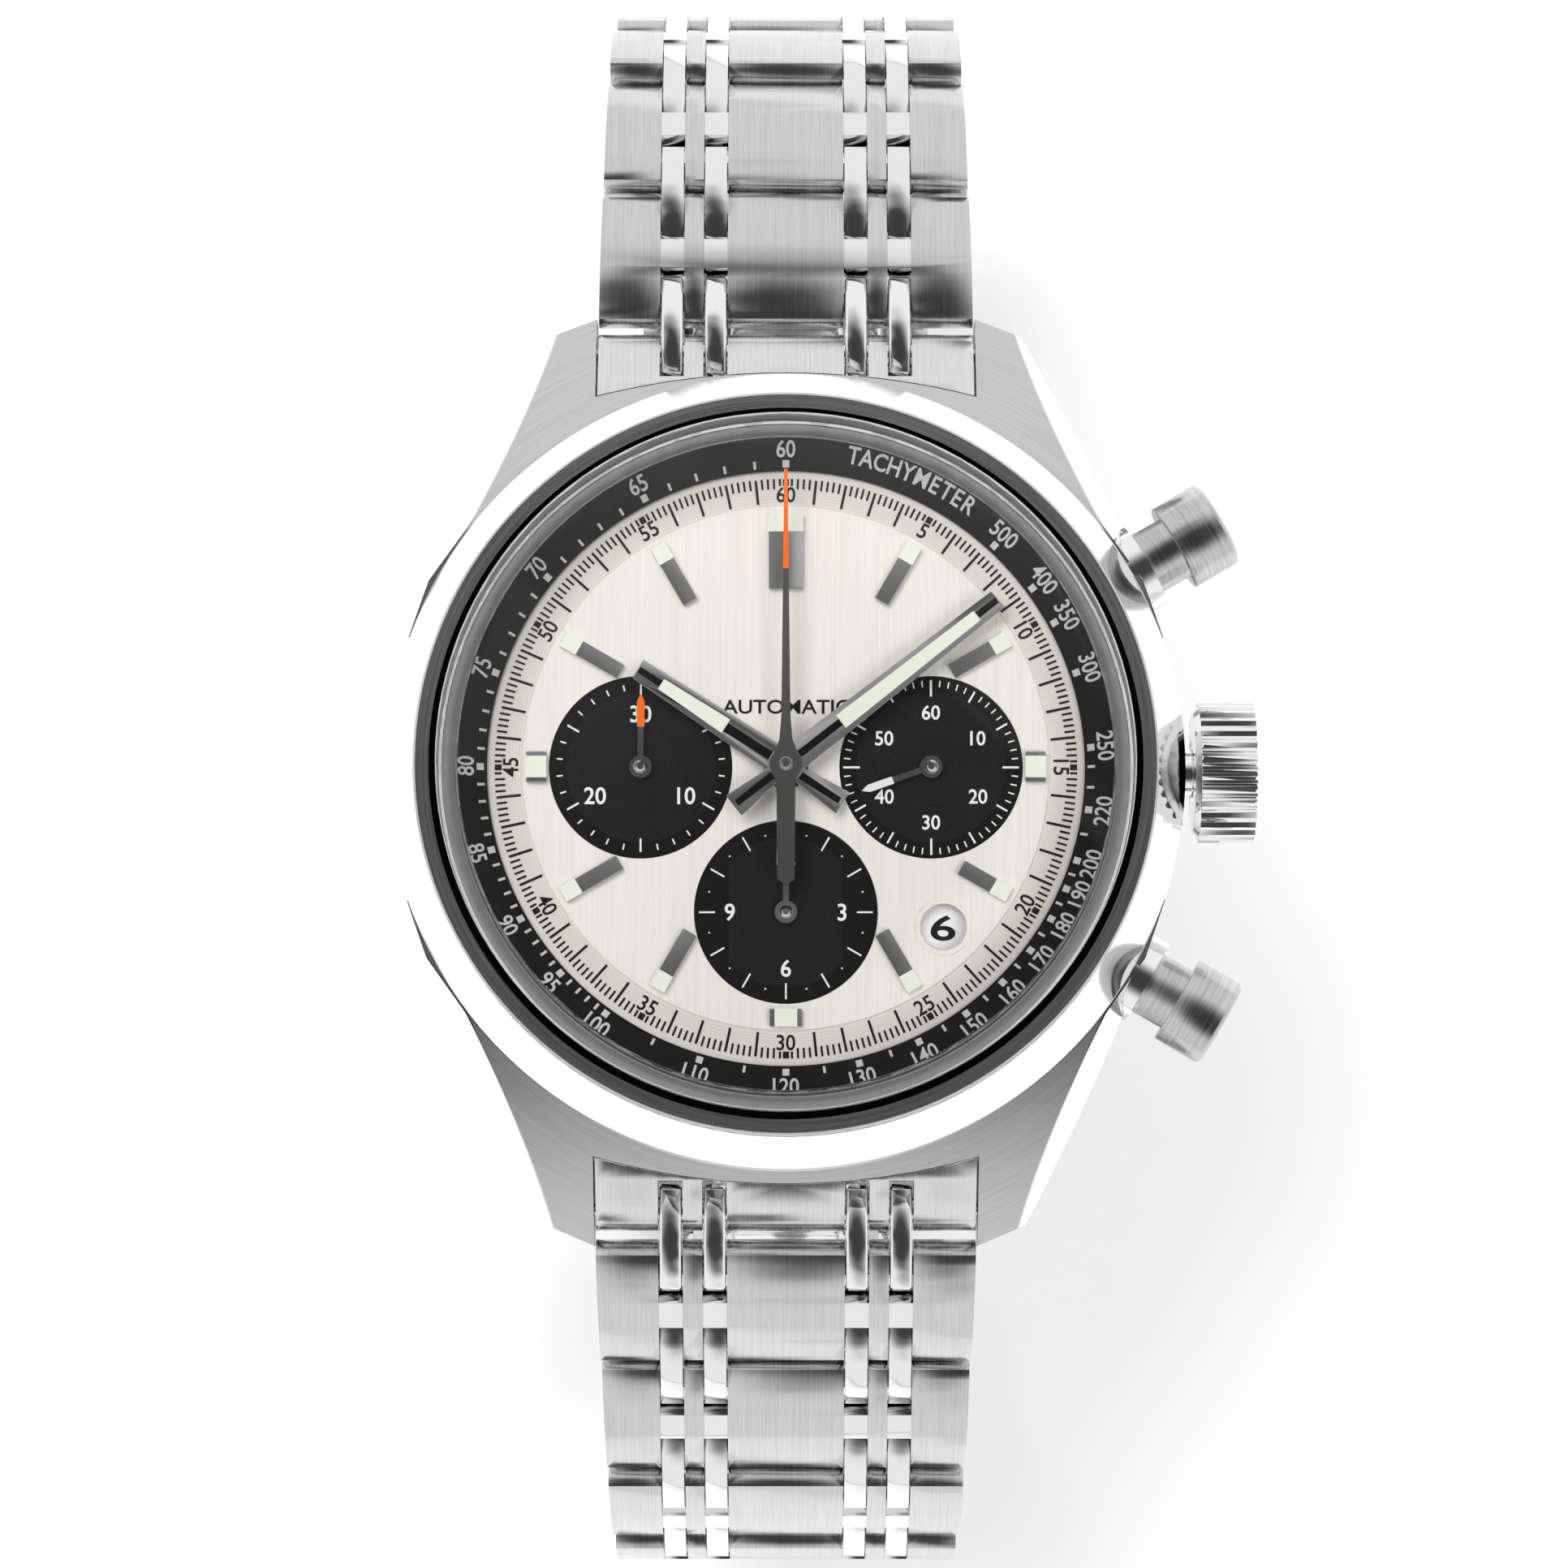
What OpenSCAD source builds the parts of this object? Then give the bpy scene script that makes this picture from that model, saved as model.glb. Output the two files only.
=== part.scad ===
/* [Case] */
// Radius of the round body at its widest
case_r = 21.25; // [20:0.25:24]
// Half of the length from lug tip to lug tip
lug_reach = 25.2; // [24:0.1:28]
// Gap between two lugs
lug_gap = 20.6; // [18:0.2:24]
// Radius of the bezel's outside
bezel_r = 19.6; // [18.5:0.1:20.4]
// Width of the bezel's flat rim
bezel_rim = 0.85; // [0.5:0.05:1.2]
// Width of the black crystal gasket
gasket_w = 0.4; // [0.3:0.05:0.6]
// Thickness of the crystal's roof
crystal_t = 1.6; // [1:0.1:2]
// Height of the case's floor from the stem's axis
case_floor_z = -4.9; // [-5.4:0.1:-4.5]

/* [Dial] */
// Radius where the dial meets the scale ring
dial_open_r = 15.85; // [15:0.05:16.2]
// Distance of the three small dials from the centre
sub_offset = 7.7; // [7:0.05:8.2]
// Radius of a small dial
sub_r = 4.85; // [4:0.05:5.2]
// Radius of the step round the dial's middle field
field_r = 13.95; // [13.6:0.05:14.5]
// Radius of the round date window
window_r = 1.25; // [1:0.05:1.4]
// Distance of the date window from the centre
window_offset = 11.9; // [11.6:0.05:12]

/* [Hands] */
// Length of the hour hand from its axis
hour_l = 9.4; // [8:0.1:10.5]
// Length of the minute hand from its axis
minute_l = 14.3; // [12:0.1:15]
// Length of the centre chronograph hand from its axis
chrono_l = 15.7; // [13:0.1:15.75]
// Length of the centre chronograph hand's tail
chrono_tail = 6.45; // [4:0.05:7]
// Length of the three small hands
small_l = 3.9; // [3:0.1:4.4]

/* [Crown and pushers] */
// Radius of the crown
crown_r = 3.75; // [3:0.05:4.2]
// Length of the crown
crown_l = 3.5; // [3:0.1:4.5]
// Number of flutes on the crown
crown_flutes = 32; // [24:1:40]
// Radius of a pusher's cap
pusher_r = 2.4; // [2:0.05:2.8]
// Length of a pusher's cap
pusher_l = 2.7; // [2:0.1:3.2]
// Angle of each pusher from the crown
pusher_angle = 30.2; // [27:0.2:34]
// Travel of a pusher
pusher_travel = 1.2; // [0.6:0.1:1.4]
// Radius of the winding stem
stem_r = 0.7; // [0.5:0.05:0.8]

/* [Bracelet] */
// Width of the bracelet at the lugs
bracelet_w = 20.4; // [17.8:0.2:23.8]
// Width of the bracelet at the clasp
bracelet_end_w = 17; // [15.6:0.2:19]
// Thickness of a link
link_t = 2.8; // [2.4:0.1:3.2]
// Distance between the two pins in a brushed link
link_l = 4.7; // [4.2:0.1:5.6]
// Distance between the two pins in a polished connector
conn_l = 3; // [3:0.1:3.4]
// Radius of the arch over a brushed link's face
link_arch = 9.5; // [8:0.5:60]
// Radius of the arch over a connector's face
conn_arch = 6; // [5:0.5:40]
// Radius of a link pin
pin_r = 0.5; // [0.35:0.05:0.55]
// Running clearance of a pin in its bore
pin_gap = 0.05; // [0.03:0.01:0.1]
// Half of the middle bar's width
bar_in = 3.16; // [2.8:0.02:3.4]
// Width of a polished connector
conn_w = 1.2; // [1:0.02:1.3]
// Width of a thin bar
bar_thin = 1.05; // [0.9:0.02:1.2]
// Side clearance of a connector in its slot
slot_gap = 0.06; // [0.04:0.01:0.1]
// Slopes of the first rows below the 12 o'clock lugs
slopes_12 = [11, 31, 63, 86];
// Slopes of the first rows below the 6 o'clock lugs
slopes_6 = [38, 41, 66, 89];
// Slope of the connectors held by the end links
end_slope = 6; // [0:1:12]

/* [Clasp] */
// Distance between the clasp's two outer pins
clasp_span = 48; // [44:0.5:54]
// Thickness of the clasp's folded cover
cover_t = 1; // [0.8:0.1:1.2]
// Thickness of the two blades
blade_t = 0.8; // [0.7:0.05:0.9]
// Width of the two blades
blade_w = 9; // [8:0.2:12]
// Travel of a clasp button
button_travel = 0.5; // [0.3:0.1:0.6]

/* [Hidden] */
$fn = 96;
fit = 0.02;         // face to face clearance of fixed pieces
far = 60;           // longer than anything cut
rows_12 = 8;
rows_6 = 7;

// heights of the case, from the stem's axis
rim_z = 4.6;        // top of the body
shoulder_z = 2.4;   // foot of the polished slope
dial_z = 3.2;       // face of the dial
dial_t = 0.4;
track_z = dial_z - 0.12;
sub_z = dial_z - 0.15;
marker_t = 0.35;
seat_z = rim_z - 0.1;
bezel_z0 = rim_z - 1;
bezel_z1 = rim_z + 1.7;
crystal_z1 = bezel_z1 + 1.6;
bezel_edge = 0.12;   // chamfer of the bezel
crystal_edge = 0.4;  // chamfer of the crystal
back_z = -6.6;
plate_z0 = 0.4;
plate_z1 = dial_z - dial_t - 0.2;
train_z = -1.8;
bridge_z0 = -2.9;
bridge_z1 = -2;

// radii of the case
gasket_r = bezel_r - bezel_rim;
crystal_r = gasket_r - gasket_w;
crystal_in = crystal_r - 0.75;
ring_r = crystal_r - 0.18;
dial_r = dial_open_r + 0.75;
move_r = 14.6;
bore_r = 16.3;
glass_back_r = 14;
back_r = case_r - 3.65;

// lugs
lug_top_r = 45;
lug_foot_y = 13;    // where a lug's top meets the shoulder
lug_top_z = shoulder_z - sqrt(lug_top_r * lug_top_r - lug_foot_y * lug_foot_y);
flank_r = 110;
flank_x = flank_r * cos(22) - 17.55;
flank_y = flank_r * sin(22) - 14;
facet_az = 35.5;
facet_el = 29.3;
facet_d = lug_reach * 0.5 + 7.2;
strip_r = 38;
strip_y = case_r + 0.65 - strip_r;

// bracelet
half_t = link_t / 2;
pitch = link_l + conn_l;
bar_y = lug_reach - 1.95;
bar_z = lug_top_z + sqrt(lug_top_r * lug_top_r - bar_y * bar_y) - half_t - 0.05;
bar_r = 0.75;
bar_tip_r = 0.4;
conn_x = [bar_in + slot_gap, bar_in + conn_w + bar_thin + slot_gap * 3];
slot_end = half_t + 0.1;
end_drop = 0.1;
// an end link's round end meets its top smoothly
end_r = lug_top_r - end_drop - norm([bar_y, bar_z - lug_top_z]);
end_y = bar_y + end_r * bar_y / norm([bar_y, bar_z - lug_top_z]);

function slope(s, k, d) = k < len(s) ? s[k] : s[len(s) - 1] + d * (k - len(s) + 1);
function reach(s, d, n, k = 0) = k == n ? 0 : pitch * cos(slope(s, k, d)) + reach(s, d, n, k + 1);
function drop(s, d, n, k = 0) = k == n ? 0 : pitch * sin(slope(s, k, d)) + drop(s, d, n, k + 1);
function pin_y(s, d, n) = bar_y + conn_l * cos(end_slope) + reach(s, d, n);
function pin_drop(s, d, n) = conn_l * sin(end_slope) + drop(s, d, n);
// curl of the lower rows that brings the last pin to a wanted drop
function curl(s, h, k, lo = 5, hi = 60, n = 26) =
    let (m = (lo + hi) / 2)
    n == 0 ? m : pin_drop(s, m, k) > h ? curl(s, h, k, m, hi, n - 1) : curl(s, h, k, lo, m, n - 1);
function span(h) = pin_y(slopes_12, curl(slopes_12, h, rows_12), rows_12)
    + pin_y(slopes_6, curl(slopes_6, h, rows_6), rows_6);
// drop at which the two ends of the bracelet stand one clasp apart
function loop_drop(lo = 4 * pitch, hi = 5.9 * pitch, n = 22) =
    let (m = (lo + hi) / 2)
    n == 0 ? m : span(m) < clasp_span ? loop_drop(m, hi, n - 1) : loop_drop(lo, m, n - 1);
closed_drop = loop_drop();
curl_12 = curl(slopes_12, closed_drop, rows_12);
curl_6 = curl(slopes_6, closed_drop, rows_6);
clasp_y12 = pin_y(slopes_12, curl_12, rows_12);
clasp_y6 = -pin_y(slopes_6, curl_6, rows_6);

// clasp, from the face that it rests on
clasp_pin_z = 2 * half_t + 0.6;
case_z = clasp_pin_z + closed_drop - bar_z;
plate_a_z = cover_t + 0.3;
hinge_a_z = plate_a_z + blade_t;
plate_b_z = hinge_a_z + 1.05;
hinge_b_z = (plate_a_z + plate_b_z + blade_t) / 2;
knuckle_a = 0.9;
knuckle_b = (plate_b_z + blade_t - plate_a_z) / 2;
hinge_a_y = clasp_y6 + 4;
hinge_b_y = clasp_y12 - 4.5;
cover_end = 1.4;
cover_in = bracelet_end_w / 2 + 0.45;
cover_wall = 0.8;
cover_out = cover_in + cover_wall;
wall_h = clasp_pin_z + 1;
button_y = hinge_a_y + 9;
button_z = (cover_t + wall_h) / 2;

// crown and pushers
tube_r = 1.3;
crown_x = case_r + 0.5;
collar_r = pusher_r;
neck_r = pusher_r - 0.65;
collar_x = case_r + 1.05;
cap_x = collar_x + pusher_travel + 0.65;

// movement, with each wheel clear of the next pinion by the same gap
mesh_gap = 0.05;
centre_r = 3.6;
third_r = 3.35;
fourth_r = 2.5;
escape_r = 1.8;
barrel_r = 4.6;
pinion_c = 1.4;
pinion_3 = 0.6;
pinion_4 = 0.5;
pinion_e = 0.4;
third_d = centre_r + pinion_3 + mesh_gap;
third_to_sub = third_r + pinion_4 + mesh_gap;
third_x = (sub_offset * sub_offset + third_d * third_d - third_to_sub * third_to_sub) / (2 * sub_offset);
third_y = sqrt(third_d * third_d - third_x * third_x);
barrel_d = barrel_r + pinion_c + mesh_gap;
barrel_xy = [-barrel_d * cos(42), barrel_d * sin(42)];
escape_d = fourth_r + pinion_e + mesh_gap;
escape_xy = [sub_offset + escape_d * cos(50), -escape_d * sin(50)];
fork_xy = escape_xy + [-0.9, -2.6];
balance_r = 3.7;
balance_xy = fork_xy + [-3.1, -2.9];
column_xy = [-4.6, -8.4];
wheel_t = 0.25;
centre_z = -0.45;
fourth_z = -1.1;
barrel_z = -1.3;
fork_z = -1.4;
third_z = -1.75;
spring_z = -1.6;
pivot_z0 = bridge_z1 + 0.05;
pivot_z1 = plate_z0 - 0.1;
jewel_r = 0.6;
screw_r = 0.8;

module lift() translate([0, 0, case_z]) children();
module ring(ro, ri, z0, z1) translate([0, 0, z0]) difference() {
    cylinder(r = ro, h = z1 - z0);
    translate([0, 0, -1]) cylinder(r = ri, h = z1 - z0 + 2);
}
module disc(r, z0, z1) translate([0, 0, z0]) cylinder(r = r, h = z1 - z0);
module along_x(r, x0, x1) translate([x0, 0, 0]) rotate([0, 90, 0]) cylinder(r = r, h = x1 - x0);
module across(r, half) rotate([0, 90, 0]) cylinder(r = r, h = 2 * half, center = true, $fn = 48);
module four_ways() for (mx = [0, 1], my = [0, 1]) mirror([mx, 0, 0]) mirror([0, my, 0]) children();
module sides() for (m = [0, 1]) mirror([m, 0, 0]) children();
module at_pushers() for (s = [-1, 1]) rotate([0, 0, s * pusher_angle]) children();

module lug_solid() intersection() {
    translate([0, 0, lug_top_z]) rotate([0, 90, 0]) cylinder(r = lug_top_r, h = far, $fn = 360);
    translate([-flank_x, -flank_y, -far / 2]) cylinder(r = flank_r, h = far, $fn = 720);
    rotate([90, 0, 90]) linear_extrude(far) polygon([
        [7, -3.6], [17, case_floor_z], [lug_reach - 3.2, back_z + 0.5], [lug_reach - 0.6, back_z + 0.5],
        [lug_reach, back_z + 1.1], [lug_reach, shoulder_z], [7, shoulder_z]]);
    translate([0, 0, -far / 2]) linear_extrude(far) polygon([
        [lug_gap / 2, 7], [lug_gap / 2, lug_reach], [lug_gap / 2 + 2.8, lug_reach - 1.2],
        [case_r + 1, lug_reach - 1.2], [case_r + 1, 7]]);
    rotate([0, -facet_el, facet_az]) translate([facet_d - far * 2, -far, -far])
        cube([far * 2, far * 2, far * 2]);
}
module body_solid() rotate_extrude($fn = 180) polygon([
    [0, case_floor_z], [back_r, case_floor_z], [case_r - 1.05, -3.6], [case_r - 0.25, -1], [case_r, 1.6],
    [case_r, shoulder_z], [bezel_r + fit, rim_z], [0, rim_z]]);
// the brushed strip between the polished ring and an end link
module strip_solid() for (m = [0, 1]) mirror([0, m, 0]) intersection() {
    translate([0, 0, lug_top_z]) rotate([0, 90, 0])
        cylinder(r = lug_top_r, h = far, center = true, $fn = 360);
    translate([0, strip_y, -3]) cylinder(r = strip_r, h = far, $fn = 360);
    translate([-lug_gap / 2 - 1, case_r - 7, -3]) cube([lug_gap + 2, far, far]);
}
module case_middle() lift() color("silver") difference() {
    union() {
        body_solid();
        four_ways() lug_solid();
        strip_solid();
    }
    disc(bore_r, case_floor_z - 1, far);
    disc(dial_r + fit, dial_z - dial_t, far);
    disc(ring_r + fit, track_z, far);
    disc(gasket_r, seat_z, far);
    ring(bezel_r + fit, gasket_r - fit, bezel_z0 - fit, far);
    ring(17.3, 16.7, case_floor_z - 1, case_floor_z + 0.45);
    along_x(tube_r + fit, 10, 30);
    at_pushers() along_x(pusher_r - 0.18, 10, 30);
    at_pushers() along_x(collar_r + 0.03, case_r - 0.25, 30);
    for (s = [-1, 1]) translate([0, s * bar_y, bar_z]) across(bar_tip_r + fit, lug_gap / 2 + 1.5);
}
module bezel() lift() color("dimgray") rotate_extrude($fn = 180) polygon([
    [gasket_r + fit, bezel_z0], [bezel_r, bezel_z0], [bezel_r, bezel_z1 - bezel_edge],
    [bezel_r - bezel_edge, bezel_z1], [gasket_r + fit, bezel_z1]]);
module crystal() lift() color("aliceblue", 0.4) rotate_extrude($fn = 180) polygon([
    [0, crystal_z1 - crystal_t], [crystal_in - 0.35, crystal_z1 - crystal_t], [crystal_in, seat_z + fit],
    [crystal_r, seat_z + fit], [crystal_r, crystal_z1 - crystal_edge],
    [crystal_r - crystal_edge, crystal_z1],
    [0, crystal_z1]]);
module gaskets() lift() color("black") {
    ring(gasket_r - fit, crystal_r + fit, seat_z + fit, bezel_z1 - 0.25);
    translate([0, 0, case_floor_z + 0.22]) rotate_extrude($fn = 120)
        translate([17, 0]) circle(r = 0.21, $fn = 24);
}
module tachymeter_ring() lift() color("#202020") rotate_extrude($fn = 180) polygon([
    [dial_open_r, track_z + fit], [dial_open_r, track_z + 0.25], [ring_r - 0.6, seat_z - 0.1],
    [ring_r, seat_z - 0.1], [ring_r, track_z + fit]]);
module case_back() lift() color("silver") difference() {
    rotate_extrude($fn = 180) polygon([
        [glass_back_r - 0.6, back_z], [back_r - 1, back_z], [back_r - fit, back_z + 0.8],
        [back_r - fit, case_floor_z - fit], [bore_r - fit, case_floor_z - fit],
        [bore_r - fit, case_floor_z + 0.6],
        [glass_back_r + 0.7, case_floor_z + 0.6], [glass_back_r + 0.7, back_z + 1.5],
        [glass_back_r - 0.6, back_z + 1.5]]);
    disc(glass_back_r + fit, back_z + 0.7, far);
    for (i = [0:5]) rotate([0, 0, i * 60 + 30]) translate([back_r - 0.6, -1.2, back_z - 1])
        cube([3, 2.4, 1.5]);
}
module case_back_crystal() lift() color("aliceblue", 0.4) disc(glass_back_r, back_z + 0.72, back_z + 1.5);
module case_tubes() lift() color("silver") {
    difference() {
        along_x(tube_r, bore_r + 0.1, case_r + 1.3);
        along_x(stem_r + 0.1, 0, 30);
    }
    at_pushers() difference() {
        union() {
            along_x(pusher_r - 0.2, bore_r + 0.3, case_r);
            along_x(collar_r, case_r - 0.2, collar_x);
        }
        along_x(neck_r + 0.05, bore_r + 1.4, 30);
        along_x(0.7, 0, 30);
    }
}
module movement_ring() lift() color("gainsboro") difference() {
    ring(bore_r - 0.1, move_r + 0.05, bridge_z1, plate_z1);
    along_x(stem_r + 0.2, 0, 30);
    at_pushers() along_x(0.85, 0, 30);
}
module at_subs() {
    translate([sub_offset, 0, 0]) children();
    translate([-sub_offset, 0, 0]) children();
    translate([0, -sub_offset, 0]) children();
}
module at_window() rotate([0, 0, -45.6]) translate([window_offset, 0, 0]) children();
module dial() lift() color("ivory") difference() {
    union() {
        disc(dial_r, dial_z - dial_t, track_z);
        disc(field_r, dial_z - dial_t, dial_z);
        at_window() ring(window_r + 0.25, window_r, dial_z - dial_t, dial_z + 0.08);
    }
    at_subs() disc(sub_r + fit, sub_z - 0.15, far);
    at_subs() disc(0.6, 0, far);
    at_window() disc(window_r, 0, far);
    disc(1.2, 0, far);
}
module subdial_discs() lift() color("#1c1c1c") at_subs() ring(sub_r, 0.6, sub_z - 0.13, sub_z);
module marker(w, r0, r1) translate([-w / 2, r0, dial_z + 0.01]) cube([w, r1 - r0, marker_t]);
module hour_markers() lift() color("gray") {
    marker(1.83, 9.5, 13.45);
    for (h = [1, 2, 4, 5, 7, 8, 10, 11]) rotate([0, 0, -30 * h]) marker(0.82, h == 4 ? 10.7 : 10.15, 13.6);
    for (h = [3, 9]) rotate([0, 0, -30 * h]) marker(1.63, 12.7, 13.76);
    rotate([0, 0, 180]) marker(1.75, 12.85, 13.76);
}
module baton(l, tail, w_tip, w_mid, w_tail, z, t) translate([0, 0, z]) linear_extrude(t) {
    polygon([[-w_mid / 2, 0.4], [-w_tip / 2, l - 0.05], [w_tip / 2, l], [w_mid / 2, 0.4]]);
    polygon([[-0.3, 0.6], [-w_tail / 2, -tail], [w_tail / 2, -tail], [0.3, 0.6]]);
    circle(r = 0.95, $fn = 48);
}
hour_z = dial_z + 0.65;
minute_z = hour_z + 0.5;
chrono_z = minute_z + 0.5;
small_z = sub_z + 0.25;
chrono_hub = 0.86;
module tube(ro, ri, z0, z1) ring(ro, ri, z0, z1, $fn = 48);
module hour_hand() lift() rotate([0, 0, 56.7]) color("gray") difference() {
    union() {
        baton(hour_l, 3.6, 1.15, 1.55, 1.35, hour_z, 0.2);
        disc(0.85, plate_z0 + 0.3, hour_z + 0.1);
    }
    disc(0.6, 0, far);
}
module minute_hand() lift() rotate([0, 0, -51.9]) color("gray") difference() {
    union() {
        baton(minute_l, 3.5, 1.1, 1.5, 1.35, minute_z, 0.2);
        disc(0.52, plate_z0 + 0.1, minute_z + 0.1);
    }
    disc(0.3, 0, far);
}
module chrono_seconds_hand() lift() color("orangered") {
    disc(0.22, plate_z0, chrono_z + 0.1);
    translate([0, 0, chrono_z]) linear_extrude(0.16) {
        polygon([[-0.09, chrono_l], [0.09, chrono_l], [0.24, 2.6], [0.35, 1.3], [chrono_hub * 0.72, 0.62],
            [chrono_hub * 0.72, -0.62], [0.5, -1], [0.46, -chrono_tail + 0.36], [0, -chrono_tail],
            [-0.46, -chrono_tail + 0.36], [-0.5, -1], [-chrono_hub * 0.72, -0.62],
            [-chrono_hub * 0.72, 0.62],
            [-0.35, 1.3], [-0.24, 2.6]]);
        circle(r = chrono_hub, $fn = 48);
    }
    disc(0.36, chrono_z, chrono_z + 0.32);
}
module small_hand(z_low) {
    translate([0, 0, small_z]) linear_extrude(0.12) {
        polygon([[-0.16, 0], [-0.16, small_l - 1.8], [-0.2, small_l - 1.7], [-0.2, small_l - 0.4],
            [0, small_l], [0.2, small_l - 0.4], [0.2, small_l - 1.7], [0.16, small_l - 1.8], [0.16, 0]]);
        circle(r = 0.6, $fn = 32);
    }
    disc(0.28, z_low, small_z + 0.25);
}
module wheel(r, z, t, teeth, hub, spokes = 4) translate([0, 0, z]) difference() {
    linear_extrude(t) polygon([for (i = [0:teeth * 2 - 1])
        let (q = i % 2 == 0 ? r : r - 0.16, a = i * 180 / teeth) [q * cos(a), q * sin(a)]]);
    for (i = [0:spokes - 1]) rotate([0, 0, 360 / spokes * (i + 0.5)]) translate([(r + hub) / 2, 0, -1])
        cylinder(r = (r - hub) / 2 - 0.42, h = t + 2, $fn = 32);
}
module small_seconds_hand() lift() translate([sub_offset, 0, 0]) color("white") {
    rotate([0, 0, -250.8]) small_hand(bridge_z1 + 0.15);
    wheel(fourth_r, fourth_z, wheel_t, 48, 0.6);
    disc(pinion_4, train_z, fourth_z + 0.05);
}
module minute_counter_hand() lift() translate([-sub_offset, 0, 0]) color("orangered")
    small_hand(plate_z0 + 0.3);
module hour_counter_hand() lift() translate([0, -sub_offset, 0]) color("gray") small_hand(plate_z0 + 0.3);
module date_disc() lift() color("white") ring(window_offset + 1.55, window_offset - 1.5, plate_z1 - 0.4,
    plate_z1 - 0.12);
module mainplate() lift() color("gold") difference() {
    disc(move_r, plate_z0, plate_z1);
    ring(window_offset + 1.7, window_offset - 1.65, plate_z1 - 0.55, far);
    disc(1.1, 0, far);
    at_subs() disc(0.42, 0, far);
    along_x(stem_r + 0.1, 9.5, 30);
    at_pushers() along_x(0.8, 13.5, 30);
}
pillars = [[-12.4, 4.8], [-4, 12.6], [7.5, 11], [-12.6, -4.2], [0.8, -13]];
jewels = [[0.01, 3.2], [third_x, third_y], [sub_offset, 0], [-8.5, -3.4], [-1.5, -5.6], [-7.5, 8.5]];
module bridge_outline() difference() {
    circle(r = move_r - 0.5);
    translate(balance_xy) circle(r = balance_r + 1.1);
    translate(fork_xy + [1.2, -1.2]) circle(r = 2.6);
    translate(escape_xy + [2.6, 0.2]) circle(r = 1.2);
}
module train_bridge() lift() color("silver") difference() {
    union() {
        translate([0, 0, bridge_z0]) linear_extrude(bridge_z1 - bridge_z0) bridge_outline();
        for (p = pillars) translate([p[0], p[1], 0]) disc(0.8, bridge_z0, plate_z0 - fit, $fn = 32);
        disc(0.55, bridge_z0, plate_z0 - 0.15, $fn = 48);
        disc(1.5, bridge_z0 - 0.5, bridge_z0 + 0.1);
        disc(0.8, bridge_z0 - 1.3, bridge_z0);
    }
    for (p = jewels) translate([p[0], p[1], 0])
        disc(jewel_r + fit, bridge_z0 - 1, bridge_z0 + 0.4, $fn = 32);
    for (p = pillars) translate([p[0], p[1], 0])
        disc(screw_r + 0.05, bridge_z0 - 1, bridge_z0 + 0.35, $fn = 32);
    translate([sub_offset, 0, 0]) disc(0.33, -10, 0, $fn = 32);
    translate([barrel_xy[0], barrel_xy[1], 0]) disc(2.2, bridge_z0 - 1, bridge_z0 + 0.25);
    translate([column_xy[0], column_xy[1], 0]) disc(1.9, -10, 0);
}
module balance_cock() lift() color("silver") {
    foot = balance_xy + [-4.4, -0.4];
    difference() {
        union() {
            translate([balance_xy[0], balance_xy[1], 0]) disc(1.1, bridge_z0, bridge_z1);
            translate([foot[0] - 0.3, balance_xy[1] - 0.9, bridge_z0])
                cube([4.6, 1.8, bridge_z1 - bridge_z0]);
        }
        translate([balance_xy[0], balance_xy[1], 0]) disc(0.25, -10, 0, $fn = 24);
        translate([balance_xy[0] - balance_r - 1.08, balance_xy[1], 0]) disc(0.35, -10, 0, $fn = 24);
    }
}
module bridge_screws() lift() color("lightsteelblue") {
    for (p = pillars) translate([p[0], p[1], 0]) difference() {
        disc(screw_r, bridge_z0 - 0.02, bridge_z0 + 0.33, $fn = 32);
        translate([-1, -0.12, bridge_z0 - 0.1]) cube([2, 0.24, 0.3]);
    }
    translate([0, 0, bridge_z0 - 1.45]) difference() {
        disc(1.2, 0, 0.13, $fn = 48);
        translate([-1.3, -0.15, -0.05]) cube([2.6, 0.3, 0.12]);
    }
}
module bridge_jewels() lift() color("crimson") for (p = jewels) translate([p[0], p[1], 0])
    ring(jewel_r, p[0] == sub_offset ? 0.33 : 0.15, bridge_z0 + 0.02, bridge_z0 + 0.38, $fn = 32);
module mainspring_barrel() lift() translate([barrel_xy[0], barrel_xy[1], 0]) color("goldenrod") {
    wheel(barrel_r, barrel_z, 0.3, 84, barrel_r - 1);
    disc(barrel_r - 0.5, barrel_z - 0.45, barrel_z + 0.05);
    disc(0.5, pivot_z0, pivot_z1, $fn = 32);
}
module centre_wheel() lift() color("goldenrod") difference() {
    union() {
        wheel(centre_r, centre_z, wheel_t, 66, pinion_c, 5);
        disc(pinion_c, -1.35, centre_z + 0.05);
    }
    disc(0.6, -10, 10);
}
module third_wheel() lift() translate([third_x, third_y, 0]) color("goldenrod") {
    wheel(third_r, third_z, wheel_t, 60, 0.7);
    disc(pinion_3, third_z + 0.15, -0.1, $fn = 32);
    disc(0.14, pivot_z0, pivot_z1, $fn = 24);
}
module escape_wheel() lift() translate([escape_xy[0], escape_xy[1], 0]) color("silver") {
    wheel(escape_r, third_z, 0.2, 20, 0.5);
    disc(pinion_e, third_z + 0.15, -0.8, $fn = 32);
    disc(0.12, pivot_z0, pivot_z1, $fn = 24);
}
module pallet_fork() lift() translate([fork_xy[0], fork_xy[1], 0]) rotate([0, 0, 223]) color("silver") {
    translate([0, 0, fork_z]) linear_extrude(0.2) {
        polygon([[-0.25, -0.25], [2.6, -0.12], [2.6, 0.12], [-0.25, 0.25]]);
        polygon([[-0.3, -1.1], [0, -1.1], [0.25, 0], [0, 1.1], [-0.3, 1.1]]);
        circle(r = 0.4, $fn = 32);
    }
    disc(0.12, pivot_z0, pivot_z1, $fn = 24);
}
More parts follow.
